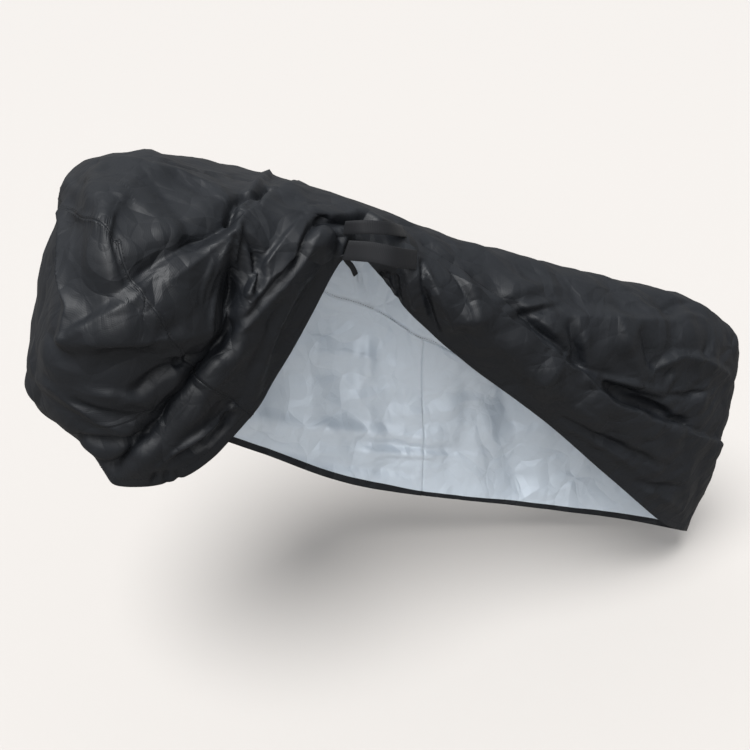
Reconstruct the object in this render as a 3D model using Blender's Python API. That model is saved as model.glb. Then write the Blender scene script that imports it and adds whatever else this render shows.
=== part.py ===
"""Bicycle cover, in the shape in which it hangs with its near side gathered up and tied.

Lengths are in metres and +Z is up. X runs from the cover's front to its rear, and the near side, the
one that is tied up, faces -Y. The tables give places from a level ground below the cover, and the
finished solids are moved so that the origin is the point under the top where the cover is carried.
"""
import math

import bpy
import numpy as np
from mathutils import Vector
from mathutils.bvhtree import BVHTree

# ---------------------------------------------------------------------------- driving sizes
CARRIED_AT = (0.60, -0.03, 1.02)   # point under the top that becomes the origin
CLOTH = 0.002                      # coated polyester with its folded seams, as hung
SEAM_GAP = 0.0006                  # between two sewn panels
SHARP_FOLD = math.radians(50)      # edges bent further than this are shaded as creases
COLUMNS = (28, 32, 28)             # near columns from nose to front seam, to far seam, to tail, all even
ROWS = (12, 10, 6, 6)              # near rows between the levels hem, belly, crown, shoulder, ridge, all even
LEVELS = (0.0, 0.36, 0.64, 0.84, 1.0)
LINE_STEPS = 6                     # steps of a fold's line between two of its places
STEEPEST = 0.50                    # cosine of the steepest slope of a fold against the cloth round it
EASING_ROUNDS = 60

FRONT_SEAM = 6                     # station of the front panel's upright seams
FAR_SEAM = 13                      # station of the upright seam in the far side

# Near half, one row a station from nose to tail: places of hem, belly, crown and shoulder.
NEAR = (
    ("nose", (-.15, -.05, .70), (-.22, -.05, .88), (-.11, -.05, 1.18), (-.08, -.04, 1.22)),
    ("cheek", (-.13, -.12, .73), (-.21, -.14, .92), (-.09, -.13, 1.19), (-.07, -.09, 1.23)),
    ("corner", (-.12, -.18, .71), (-.18, -.22, .97), (-.08, -.20, 1.20), (-.06, -.12, 1.24)),
    ("front", (-.10, -.21, .70), (-.13, -.27, 1.00), (-.07, -.24, 1.21), (-.04, -.14, 1.24)),
    ("drop", (-.03, -.23, .70), (-.09, -.29, 1.00), (-.06, -.26, 1.21), (-.02, -.15, 1.24)),
    ("toe", (.05, -.23, .72), (-.04, -.30, 1.00), (-.05, -.27, 1.20), (.00, -.15, 1.24)),
    ("seam", (.15, -.22, .80), (.03, -.29, .99), (-.04, -.27, 1.18), (.03, -.15, 1.23)),
    ("rise", (.20, -.21, .86), (.09, -.27, 1.03), (.03, -.26, 1.18), (.09, -.14, 1.21)),
    ("sweep", (.26, -.20, .94), (.16, -.25, 1.07), (.12, -.23, 1.17), (.17, -.13, 1.185)),
    ("tie_in", (.34, -.19, 1.06), (.28, -.21, 1.12), (.24, -.17, 1.16), (.28, -.10, 1.17)),
    ("tie_mid", (.38, -.17, 1.06), (.35, -.18, 1.11), (.36, -.15, 1.14), (.38, -.09, 1.14)),
    ("tie_out", (.41, -.18, 1.03), (.42, -.18, 1.08), (.45, -.15, 1.10), (.46, -.09, 1.10)),
    ("fan", (.48, -.18, .93), (.49, -.21, 1.01), (.52, -.15, 1.04), (.54, -.09, 1.05)),
    ("waist", (.60, -.17, .80), (.61, -.21, .91), (.64, -.16, .97), (.66, -.09, .99)),
    ("flank", (.79, -.16, .62), (.78, -.20, .77), (.81, -.16, .88), (.84, -.09, .91)),
    ("haunch", (.99, -.15, .41), (.99, -.18, .61), (1.02, -.15, .78), (1.05, -.09, .825)),
    ("tail_in", (1.19, -.11, .20), (1.21, -.14, .47), (1.23, -.12, .69), (1.25, -.07, .75)),
    ("tail", (1.34, -.02, .07), (1.40, -.02, .34), (1.41, -.02, .56), (1.40, -.02, .64)),
)

# Ridge, one place a station.
RIDGE = (
    (-.04, -.03, 1.24), (-.04, -.03, 1.24), (-.03, -.03, 1.25), (-.01, -.03, 1.25), (.00, -.03, 1.25),
    (.03, -.03, 1.25), (.06, -.03, 1.24), (.12, -.03, 1.21), (.20, -.03, 1.18), (.30, -.03, 1.16),
    (.38, -.03, 1.13), (.47, -.03, 1.09), (.55, -.03, 1.05), (.68, -.03, .99), (.86, -.02, .92),
    (1.07, -.02, .84), (1.25, -.02, .77), (1.37, -.02, .68),
)

# Far half: station number, then places of hem, belly, crown and shoulder. It shares the near ridge.
FAR = (
    (2,  (-.12, .10, .66), (-.19, .12, .90), (-.09, .12, 1.17), (-.06, .07, 1.22)),
    (4,  (-.03, .18, .60), (-.08, .23, .88), (-.02, .23, 1.11), (0.01, .16, 1.20)),
    (6,  (0.08, .21, .54), (0.04, .27, .82), (0.08, .29, 1.06), (0.10, .24, 1.17)),
    (8,  (0.24, .21, .44), (0.21, .28, .72), (0.26, .30, .94), (0.26, .28, 1.115)),
    (10, (0.41, .20, .33), (0.40, .26, .61), (0.44, .28, .80), (0.42, .23, 1.05)),
    (12, (0.56, .19, .26), (0.56, .24, .52), (0.58, .25, .73), (0.58, .17, .975)),
    (13, (0.65, .18, .23), (0.66, .20, .42), (0.66, .20, .67), (0.68, .13, .92)),
    (15, (1.02, .13, .12), (1.02, .17, .33), (1.03, .17, .53), (1.06, .11, .78)),
    (16, (1.22, .08, .07), (1.24, .12, .31), (1.25, .13, .54), (1.27, .08, .72)),
)
LAST = len(NEAR) - 1

# Where the near side's folds are traced from: a place, its right, up and backward ways, and the sizes in
# pixels of the square picture that it gives.
VIEWED_FROM = (-.12128, -1.72127, 1.68734)
VIEW_RIGHT = (.94287947, -.33255942, -.0195588)
VIEW_UP = (.17337747, .4397355, .88123376)
VIEW_BACK = (-.28446189, -.83428827, .47227588)
VIEW_WIDTH = 750
VIEW_FOCAL = 955.4

# Main folds of the near side, each along a line of pixels in that picture. lift is how far the cloth stands
# out along it, or in if negative; left and right are the half widths on its two sides, seen along the line;
# start and end are the shares of the lift at the line's ends.
# name, lift, left, right, start, end, line
NEAR_FOLDS = (
    ("front_rib", .016, .020, .034, .9, .8, ((61, 340), (66, 300), (69, 260), (68, 235), (65, 212))),
    ("side_crease", .009, .040, .020, .5, .5, ((158, 271), (140, 256), (118, 230), (98, 195), (88, 170))),
    ("trough", -.018, .026, .024, .3, 1., ((138, 166), (150, 185), (168, 208), (185, 226), (196, 246))),
    ("top_edge", .008, .026, .026, .3, .8, ((140, 159), (165, 170), (190, 182), (230, 201))),
    ("overlap", .016, .012, .050, .5, .9, ((61, 340), (85, 326), (120, 303), (160, 273), (200, 250), (237, 227))),
    ("overlap_shade", -.014, .034, .014, .2, 1., ((100, 308), (140, 280), (165, 262), (203, 240), (232, 222))),
    ("left_rib", .006, .016, .014, .8, .4, ((201, 302), (206, 286), (215, 265), (225, 248), (235, 230))),
    ("dark_wedge", -.022, .020, .020, .6, .3, ((216, 342), (224, 305), (230, 268), (236, 235))),
    ("lit_arc", .012, .028, .022, .4, .6, ((62, 341), (105, 338), (150, 342), (182, 352))),
    ("bulge_dark", -.014, .018, .018, .3, 1., ((120, 394), (134, 389), (147, 375), (162, 366), (190, 358))),
    ("low_rib", .014, .018, .018, .5, .6, ((38, 378), (50, 390), (64, 402), (84, 415), (104, 426), (142, 436))),
    ("under_dark", -.016, .014, .016, .3, .9, ((72, 433), (92, 434), (115, 437), (140, 437))),
    ("hem_pocket", -.024, .016, .016, .6, .8, ((108, 458), (120, 453), (134, 445))),
    ("main_valley", -.024, .020, .018, .6, .5,
     ((138, 438), (150, 427), (162, 411), (172, 396), (184, 380), (197, 364), (212, 346), (224, 333))),
    ("strip_valley", -.016, .014, .013, .3, .8,
     ((229, 331), (252, 303), (268, 286), (283, 268), (294, 251), (306, 235), (320, 223))),
    ("roll", .024, .018, .046, .5, .8,
     ((124, 462), (150, 444), (172, 415), (200, 382), (230, 344), (262, 306), (296, 262), (325, 232))),
    ("hollow", -.028, .020, .013, .3, .8, ((170, 458), (185, 446), (200, 434), (216, 420), (226, 408))),
    ("hem_lip", .014, .013, .028, .4, .7, ((160, 466), (176, 456), (200, 440), (220, 426), (234, 410))),
    ("crest_shade", -.014, .014, .012, .9, .5, ((228, 228), (229, 216), (240, 209), (256, 200), (272, 189))),
    ("crest_lip", .012, .012, .030, .7, .5, ((240, 221), (248, 212), (262, 202), (280, 191), (300, 184))),
    ("tie_line", -.028, .012, .016, .5, .6, ((318, 224), (345, 222), (370, 222), (396, 225))),
    ("tip_fold", .014, .013, .013, .6, .6, ((340, 264), (346, 248), (349, 236), (341, 226))),
    ("fan_inner", -.018, .012, .012, .8, .3, ((397, 272), (400, 288), (401, 304))),
    ("fan_outer", -.017, .013, .013, .8, .3, ((413, 266), (419, 281), (428, 300), (440, 334))),
    ("rear_lip", .022, .014, .055, .4, .6,
     ((412, 246), (440, 263), (465, 281), (487, 297), (507, 314), (532, 336), (560, 359), (582, 376), (602, 389),
      (622, 403), (642, 416), (680, 430), (722, 445))),
    ("rear_shade", -.018, .026, .014, .3, .5, ((560, 352), (590, 372), (612, 388), (640, 405), (684, 426))),
    ("rear_pocket", -.018, .018, .016, .6, .3, ((577, 370), (570, 347), (567, 322))),
    ("rear_facet", .012, .018, .018, .3, .7, ((604, 300), (617, 325), (630, 350), (643, 380))),
    ("rear_trough", -.012, .014, .014, .4, .6, ((634, 330), (643, 354), (654, 373))),
    ("rear_arc", .012, .014, .018, .6, .6, ((655, 376), (670, 363), (690, 357), (711, 362), (732, 378))),
    ("long_line", .009, .012, .014, .7, .4, ((582, 375), (606, 380), (640, 386), (668, 393))),
)
# The same of the far side, along lines of (x, z) places in the side view.
FAR_FOLDS = (
    ("tuck", .014, .020, .016, .9, .2, ((.470, .93), (.49, .88), (.52, .80))),
    ("soft", .012, .035, .035, .3, .3, ((.24, .52), (.45, .44), (.74, .37))),
    ("front_hang", .032, .045, .045, .3, .8, ((.10, 1.06), (.06, .85), (.04, .60))),
    ("mid_hang", -.030, .045, .045, .2, .8, ((.30, 1.0), (.25, .80), (.22, .50))),
    ("rear_hang", .030, .050, .050, .3, .8, ((.86, .78), (.90, .50), (.92, .20))),
)

# Tie straps: name, width, the way that the rear end faces, and the line along the middle from the front
# flap to the rear one. They are moved off the cloth where they would come nearer to it than STRAP_GAP.
STRAPS = (
    ("upper_strap", .024, (.35, -.60, .70),
     ((.354, -.185, 1.122), (.385, -.207, 1.126), (.435, -.200, 1.111), (.487, -.120, 1.063))),
    ("lower_strap", .036, (-.10, -.90, .40),
     ((.360, -.208, 1.086), (.388, -.228, 1.086), (.432, -.232, 1.072), (.483, -.190, 1.043))),
    ("strap_end", .012, (.10, -1.0, .20),
     ((.345, -.195, 1.062), (.356, -.198, 1.054), (.368, -.190, 1.040), (.377, -.180, 1.021))),
)
STRAP_THICKNESS = 0.0025
STRAP_STEPS = 14                   # mesh steps along a strap
STRAP_FACING = (0.0, -1.0, 0.12)   # the way a strap's front end faces
STRAP_GAP = 0.0008                 # least, between a strap and the cloth
STRAP_PROBES = 9                   # places across a strap at which that gap is tested


# ---------------------------------------------------------------------------- the cover's surface
def spline(knots, points, at):
    """Points of a smooth curve through points at knots, read at the numbers in at."""
    knots = np.asarray(knots, float)
    points = np.asarray(points, float)
    steps = np.diff(knots)
    slopes = np.diff(points, axis=0) / steps.reshape((-1,) + (1,) * (points.ndim - 1))
    weight = (steps[1:] / (steps[:-1] + steps[1:])).reshape((-1,) + (1,) * (points.ndim - 1))
    tangents = np.concatenate([slopes[:1], slopes[:-1] * weight + slopes[1:] * (1 - weight), slopes[-1:]])
    at = np.asarray(at, float)
    k = np.clip(np.searchsorted(knots, at, side="right") - 1, 0, len(knots) - 2)
    h = steps[k]
    u = (at - knots[k]) / h
    shape = (-1,) + (1,) * (points.ndim - 1)
    h = h.reshape(shape)
    u = u.reshape(shape)
    return ((2 * u**3 - 3 * u**2 + 1) * points[k] + (u**3 - 2 * u**2 + u) * h * tangents[k]
            + (3 * u**2 - 2 * u**3) * points[k + 1] + (u**3 - u**2) * h * tangents[k + 1])


def level_loops(stations):
    """Hem, belly, crown and shoulder at signed stations: near side positive, far side negative."""
    near = [(number, row[1:]) for number, row in enumerate(NEAR)]
    far = [(2 * LAST - row[0], row[1:]) for row in FAR]
    loop = near + sorted(far, key=lambda row: row[0])
    turn = 2 * LAST
    loop = [(n - turn, p) for n, p in loop[-3:]] + loop + [(n + turn, p) for n, p in loop[:4]]
    return spline([n for n, _ in loop], [p for _, p in loop], np.mod(stations, turn))


def ridge_line(stations):
    """Places along the ridge at station numbers from nose to tail."""
    return spline(range(LAST + 1), RIDGE, np.abs(stations))


def station_steps():
    """Station numbers of the mesh columns from nose to tail, evenly spaced along the cloth."""
    fine = np.linspace(0, LAST, 60 * LAST + 1)
    near = level_loops(fine)
    far = level_loops(-fine)
    tracks = (near[:, 0], near[:, 1], far[:, 1], ridge_line(fine))
    length = sum(np.linalg.norm(np.diff(track, axis=0), axis=1) for track in tracks)
    run = np.concatenate([[0], np.cumsum(length)])
    result = [0.0]
    ends = (0, FRONT_SEAM, FAR_SEAM, LAST)
    for start, end, count in zip(ends, ends[1:], COLUMNS):
        low, high = np.interp([start, end], fine, run)
        result += list(np.interp(np.linspace(low, high, count + 1)[1:], run, fine))
    return np.array(result)


def across_ridge(net, extra):
    """A net of columns by rows, hem to ridge, with extra rows more from beyond the ridge."""
    opposite = (-np.arange(len(net))) % len(net)
    beyond = net[opposite][:, -2:-2 - extra:-1]
    return np.concatenate([net, beyond], axis=1)


def cover_net():
    """The cover before it is folded, as a net of columns round the loop by rows from hem to ridge."""
    steps = station_steps()
    stations = np.concatenate([steps, -steps[-2:0:-1]])
    columns = np.concatenate([level_loops(stations), ridge_line(stations)[:, None]], axis=1)
    columns = across_ridge(columns, 1)
    heights = [0.0]
    for low, high, count in zip(LEVELS, LEVELS[1:], ROWS):
        heights += list(np.linspace(low, high, count + 1)[1:])
    knots = LEVELS + (2 * LEVELS[4] - LEVELS[3],)
    return spline(knots, columns.transpose(1, 0, 2), heights).transpose(1, 0, 2)


def net_normals(net):
    """Unit outward normals of a net that closes on itself round the loop and across the ridge."""
    wide = across_ridge(net, 1)
    around = np.roll(net, -1, axis=0) - np.roll(net, 1, axis=0)
    up = np.concatenate([wide[:, 1:2] - wide[:, :1], wide[:, 2:] - wide[:, :-2]], axis=1)
    normals = np.cross(around, up)
    opposite = (-np.arange(len(net))) % len(net)
    normals[:, -1] += normals[opposite, -1]
    return normals / np.maximum(np.linalg.norm(normals, axis=2, keepdims=True), 1e-9)


def net_skin(net):
    """The whole net as one surface that can be searched."""
    count, high = net.shape[:2]
    column, row = np.meshgrid(np.arange(count), np.arange(high - 1), indexing="ij")
    after = (column + 1) % count
    corners = (column * high + row, after * high + row, after * high + row + 1, column * high + row + 1)
    return BVHTree.FromPolygons(net.reshape(-1, 3).tolist(), np.stack(corners, axis=2).reshape(-1, 4).tolist())


# ---------------------------------------------------------------------------- folds
def fold_share(start, end, along):
    """The share of a fold's lift at places along it from 0 to 1."""
    return np.interp(along, (0, .4, .6, 1), (start, 1, 1, end))


def near_line(fold, skin):
    """A near fold's line as close points on the cloth, so that the lifted fold is seen at its pixels."""
    _, lift, _, _, start, end, line = fold
    eye = Vector(VIEWED_FROM)
    steps = LINE_STEPS * (len(line) - 1)
    heights = lift * fold_share(start, end, np.linspace(0, 1, steps + 1))
    places = []
    for (x, y), height in zip(spline(range(len(line)), line, np.linspace(0, len(line) - 1, steps + 1)), heights):
        way = Vector(VIEW_RIGHT) * (x - VIEW_WIDTH / 2) - Vector(VIEW_UP) * (y - VIEW_WIDTH / 2)
        way = (way - Vector(VIEW_BACK) * VIEW_FOCAL).normalized()
        hit, normal, _, _ = skin.ray_cast(eye, way)
        if hit is None:
            reach = [eye + way * far for far in np.linspace(1.4, 3.2, 181)]
            hit, normal, _, _ = min((skin.find_nearest(place) for place in reach), key=lambda found: found[3])
        shifted = skin.ray_cast(eye - normal * height, way)[0]
        if shifted is not None and (shifted - hit).length < 2 * abs(height) + .005:
            hit = shifted
        places.append(tuple(hit))
    return np.array(places)


def far_line(fold, net):
    """A far fold's line as close points on the far side."""
    line = fold[-1]
    track = spline(range(len(line)), line, np.linspace(0, len(line) - 1, LINE_STEPS * (len(line) - 1) + 1))
    far = net[len(net) // 2:].reshape(-1, 3)
    away = np.hypot(track[:, None, 0] - far[None, :, 0], track[:, None, 1] - far[None, :, 2])
    return np.stack([track[:, 0], far[away.argmin(axis=1), 1], track[:, 1]], axis=1)


def evened(line):
    """The line with its places smoothed, where the cloth behind it steps."""
    padded = np.pad(line, ((2, 2), (0, 0)), mode="edge")
    return np.mean([padded[shift:shift + len(line)] for shift in range(5)], axis=0)


def fold_moves(points, normals, line, fold):
    """How one fold moves each vertex."""
    _, lift, left, right, start, end, _ = fold
    piece = np.diff(line, axis=0)
    length = np.maximum(np.linalg.norm(piece, axis=1), 1e-6)
    run = np.concatenate([[0], np.cumsum(length)])
    offset = points[:, None] - line[None, :-1]
    along = np.clip((offset * piece).sum(axis=2) / length**2, 0, 1)
    away = offset - along[..., None] * piece
    distance = np.linalg.norm(away, axis=2)
    nearest = distance.argmin(axis=1)
    pick = np.arange(len(points))
    share = (run[nearest] + along[pick, nearest] * length[nearest]) / run[-1]
    distance = distance[pick, nearest]
    leftward = np.cross(normals, piece[nearest])
    leftward /= np.maximum(np.linalg.norm(leftward, axis=1, keepdims=True), 1e-9)
    side = (leftward * away[pick, nearest]).sum(axis=1) / np.maximum(distance, 1e-9)
    across = distance / (right + (left - right) * (1 + side) / 2)
    return (lift * fold_share(start, end, share) * np.exp(-across**2))[:, None] * normals


def evened_moves(moves):
    """Moves of the net's vertices, averaged with their neighbours so that no fold is finer than the net."""
    moves = (np.roll(moves, 1, axis=0) + 2 * moves + np.roll(moves, -1, axis=0)) / 4
    opposite = (-np.arange(len(moves))) % len(moves)
    wide = np.concatenate([moves[:, :1], moves, moves[opposite, -2:-1]], axis=1)
    moves = (wide[:, :-2] + 2 * wide[:, 1:-1] + wide[:, 2:]) / 4
    moves[:, -1] = (moves[:, -1] + moves[opposite, -1]) / 2
    return moves


def eased(net, before):
    """The net with any cloth that has turned over along a fold eased back."""
    broad = net_normals(before)
    for _ in range(EASING_ROUNDS):
        wide = np.roll(net, -1, axis=0)
        normals = np.cross(wide[:, 1:] - net[:, :-1], net[:, 1:] - wide[:, :-1])
        normals /= np.maximum(np.linalg.norm(normals, axis=2, keepdims=True), 1e-12)
        steep = (normals * (broad[:, 1:] + broad[:, :-1]) / 2).sum(axis=2) < STEEPEST
        if not steep.any():
            break
        marked = np.zeros(net.shape[:2], bool)
        for turn in (-1, 0, 1, 2):
            marked[:, 1:] |= np.roll(steep, turn, axis=0)
            marked[:, :-1] |= np.roll(steep, turn, axis=0)
        net = np.where(marked[..., None], before + evened_moves(net - before), net)
    return net


def folded_net():
    """The cover's net with its main folds."""
    net = cover_net()
    points, normals = net.reshape(-1, 3), net_normals(net).reshape(-1, 3)
    skin = net_skin(net)
    moves = np.zeros_like(points)
    for fold in NEAR_FOLDS:
        moves += fold_moves(points, normals, evened(near_line(fold, skin)), fold)
    for fold in FAR_FOLDS:
        moves += fold_moves(points, normals, evened(far_line(fold, net)), fold)
    moves = moves.reshape(net.shape)
    opposite = (-np.arange(len(net))) % len(net)
    moves[:, -1] = (moves[:, -1] + moves[opposite, -1]) / 2
    return eased(net + moves, net)


# ---------------------------------------------------------------------------- cloth
def cloth_cells(net):
    """The cloth's faces as rings of (column, row): fine on the near side, and twice as large on the far side."""
    half, top = len(net) // 2, net.shape[1] - 1
    cells = [((c, r), (c + 1, r), (c + 1, r + 1), (c, r + 1)) for c in range(half) for r in range(top)]
    for c in range(half, 2 * half, 2):
        for r in range(0, top, 2):
            ring = [(c, r), (c + 2, r), (c + 2, r + 2), (c, r + 2)]
            if r + 2 == top:
                ring.insert(3, (c + 1, top))
            if c + 2 == 2 * half:
                ring.insert(2, (c + 2, r + 1))
            if c == half:
                ring = ring[1:] + [(c, r + 1), (c, r)]
            cells.append(tuple(ring))
    return cells


def cut_of(column, row):
    """The cut of cloth that the face from this column and row of the net belongs to."""
    first, second, third = COLUMNS
    if row >= ROWS[0] + ROWS[1]:
        return "main_panel"
    if column < first or column >= 2 * sum(COLUMNS) - first:
        return "front_panel"
    if column < first + second + third:
        return "main_panel"
    return "far_rear_panel" if column < first + second + 2 * third else "far_front_panel"


def cloth_triangles(net):
    """The cloth's triangles by vertex number, and the cut of cloth of each. Quads are cut the shorter way."""
    count, high = net.shape[:2]
    triangles, cuts = [], []
    for ring in cloth_cells(net):
        cut = cut_of(*ring[0])
        if len(ring) == 4:
            a, b, c, d = (net[column % count, row] for column, row in ring)
            if ((b - d)**2).sum() < ((a - c)**2).sum():
                ring = ring[1:] + ring[:1]
        numbers = []
        for column, row in ring:
            column %= count
            if row == high - 1:
                column = min(column, count - column)
            numbers.append(column * high + row)
        for index in range(1, len(ring) - 1):
            triangles.append((numbers[0], numbers[index], numbers[index + 1]))
            cuts.append(cut)
    return np.array(triangles), np.array(cuts)


# ---------------------------------------------------------------------------- solids
def clear_scene():
    for thing in list(bpy.data.objects):
        bpy.data.objects.remove(thing, do_unlink=True)


def finish(name, colour, roughness):
    """A plain Principled finish."""
    material = bpy.data.materials.new(name)
    material.use_nodes = True
    shader = material.node_tree.nodes["Principled BSDF"]
    shader.inputs["Base Color"].default_value = (*colour, 1.0)
    shader.inputs["Roughness"].default_value = roughness
    return material


def solid(name, outer, inner, faces, material):
    """One closed body between an outer skin and the inner skin behind it."""
    edges = {}
    for face in faces:
        for edge in zip(face, face[1:] + face[:1]):
            edges[edge] = True
    shift = len(outer)
    shell = list(faces)
    shell += [tuple(corner + shift for corner in reversed(face)) for face in faces]
    rim = [edge for edge in edges if edge[::-1] not in edges]
    shell += [(end, start, start + shift, end + shift) for start, end in rim]
    mesh = bpy.data.meshes.new(name)
    vertices = np.concatenate([outer, inner]) - np.array(CARRIED_AT)
    mesh.from_pydata(vertices.tolist(), [], shell)
    mesh.materials.append(material)
    mesh.shade_smooth()
    mesh.set_sharp_from_angle(angle=SHARP_FOLD)
    body = bpy.data.objects.new(name, mesh)
    bpy.context.scene.collection.objects.link(body)
    return body


def panel(name, points, normals, triangles, chosen, material):
    """One sewn panel of the cover: the chosen triangles, drawn back a little from every seam."""
    used = np.unique(triangles[chosen])
    shared = np.isin(used, triangles[~chosen])
    centres = points[triangles].mean(axis=1)
    outer = points[used].copy()
    for place in np.flatnonzero(shared):
        touching = chosen & (triangles == used[place]).any(axis=1)
        inward = centres[touching].mean(axis=0) - outer[place]
        inward -= inward.dot(normals[used[place]]) * normals[used[place]]
        outer[place] += inward / np.linalg.norm(inward) * SEAM_GAP / 2
    renumber = {int(vertex): index for index, vertex in enumerate(used)}
    faces = [tuple(renumber[int(corner)] for corner in triangle) for triangle in triangles[chosen]]
    return solid(name, outer, outer - normals[used] * CLOTH, faces, material)


def clearance(cover, place):
    """Distance from a place to the cloth's outer face, negative behind it."""
    nearest, normal, _, distance = cover.find_nearest(Vector(place))
    return math.copysign(distance, (Vector(place) - nearest).dot(normal))


def strap(name, width, end_facing, line, cover, material):
    """A flat band that follows its line a little above the cloth, one closed body."""
    share = np.linspace(0, 1, STRAP_STEPS + 1)
    middle = spline(range(len(line)), line, share * (len(line) - 1))
    run = np.gradient(middle, axis=0)
    run /= np.linalg.norm(run, axis=1, keepdims=True)
    facing = np.array(STRAP_FACING) * (1 - share[:, None]) + np.array(end_facing) * share[:, None]
    facing -= (facing * run).sum(axis=1, keepdims=True) * run
    facing /= np.linalg.norm(facing, axis=1, keepdims=True)
    up = np.cross(facing, run)
    samples = np.linspace(-.5, .5, STRAP_PROBES) * width
    buried = True
    while buried:
        buried = False
        for step in range(STRAP_STEPS):
            for part in (0, .25, .5, .75, 1):
                place = middle[step] * (1 - part) + middle[step + 1] * part
                face = [place + up[step] * across for across in samples]
                face += [place + facing[step] * STRAP_THICKNESS for place in face]
                if min(clearance(cover, place) for place in face) < STRAP_GAP:
                    middle[step:step + 2] += facing[step:step + 2] * STRAP_GAP
                    buried = True
    inner = np.concatenate([middle + up * (row / 2 - .5) * width for row in range(3)])
    outer = inner + np.concatenate([facing] * 3) * STRAP_THICKNESS
    count = STRAP_STEPS + 1
    faces = []
    for row in range(2):
        for step in range(row * count, row * count + STRAP_STEPS):
            faces.append((step, step + 1, count + step + 1, count + step))
    return solid(name, outer, inner, faces, material)


def main():
    clear_scene()
    black = finish("black_polyester", (0.020, 0.021, 0.024), 0.55)
    net = folded_net()
    points, normals = net.reshape(-1, 3), net_normals(net).reshape(-1, 3)
    triangles, cuts = cloth_triangles(net)
    for name in ("main_panel", "front_panel", "far_front_panel", "far_rear_panel"):
        panel(name, points, normals, triangles, cuts == name, black)
    cover = BVHTree.FromPolygons(points.tolist(), triangles.tolist())
    for name, width, end_facing, line in STRAPS:
        strap(name, width, end_facing, line, cover, black)


main()
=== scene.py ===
"""Looks of the bicycle cover: black coated cloth in its hanging folds, silver inside, tied at the near side.

Lengths are in metres. The tables give places from a level ground below the cover, as in the solids' source,
and each finished piece is moved so that its origin is the point under the top where the cover is carried.
"""
import math

import bpy
import numpy as np
from mathutils import Matrix, Vector
from mathutils.bvhtree import BVHTree


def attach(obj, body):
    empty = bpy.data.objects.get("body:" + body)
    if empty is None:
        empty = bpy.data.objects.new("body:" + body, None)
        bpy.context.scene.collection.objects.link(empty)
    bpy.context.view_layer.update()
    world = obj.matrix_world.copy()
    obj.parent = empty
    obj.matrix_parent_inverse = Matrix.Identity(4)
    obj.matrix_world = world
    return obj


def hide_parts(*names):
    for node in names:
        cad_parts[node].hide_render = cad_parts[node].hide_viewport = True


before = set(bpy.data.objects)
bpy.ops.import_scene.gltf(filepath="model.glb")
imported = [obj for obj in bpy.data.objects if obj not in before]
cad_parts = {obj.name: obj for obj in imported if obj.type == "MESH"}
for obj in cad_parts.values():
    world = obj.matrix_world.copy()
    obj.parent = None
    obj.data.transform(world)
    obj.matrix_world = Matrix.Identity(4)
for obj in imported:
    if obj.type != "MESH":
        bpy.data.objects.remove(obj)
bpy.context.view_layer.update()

# ---------------------------------------------------------------------------- driving sizes
CARRIED_AT = np.array((0.60, -0.03, 1.02))
CLOTH = 0.0006                     # cloth with its coating, drawn a little thicker than it is
COLUMNS = (116, 126, 106)          # of the net, from nose to front seam, to far seam, to tail, all even
ROWS = (56, 46, 24, 24)            # of the net, between hem, belly, crown, shoulder and ridge, all even
LEVELS = (0.0, 0.36, 0.64, 0.84, 1.0)   # of these five, as shares of the way up
FRONT_SEAM = 6                     # station of the near side's seam
FAR_SEAM = 13                      # station of the far side's upright seam
LINE_STEPS = 6                     # steps of a fold's line between two of its places
FLAT_SIDE = 1.6                    # a crisp fold's flat side reaches this many half widths out
ROUND_SIDE = 4                     # and a round fold's side this many
CLOTH_REACH = np.linspace(1.4, 3.2, 181)   # distances from the camera at which the cloth is looked for
LINE_SHIFT = .005                  # a lifted fold's line may slip this much more than twice its lift
HEM_ROWS = 4                       # rows of the net in the hem that is folded to the inside, about 20 mm
SEAM_ROW = ROWS[0] + ROWS[1]       # row of the seam along the far side's top and round the front
STEEPEST = 0.12                    # cosine of the steepest slope of a fold against the cloth round it

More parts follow.
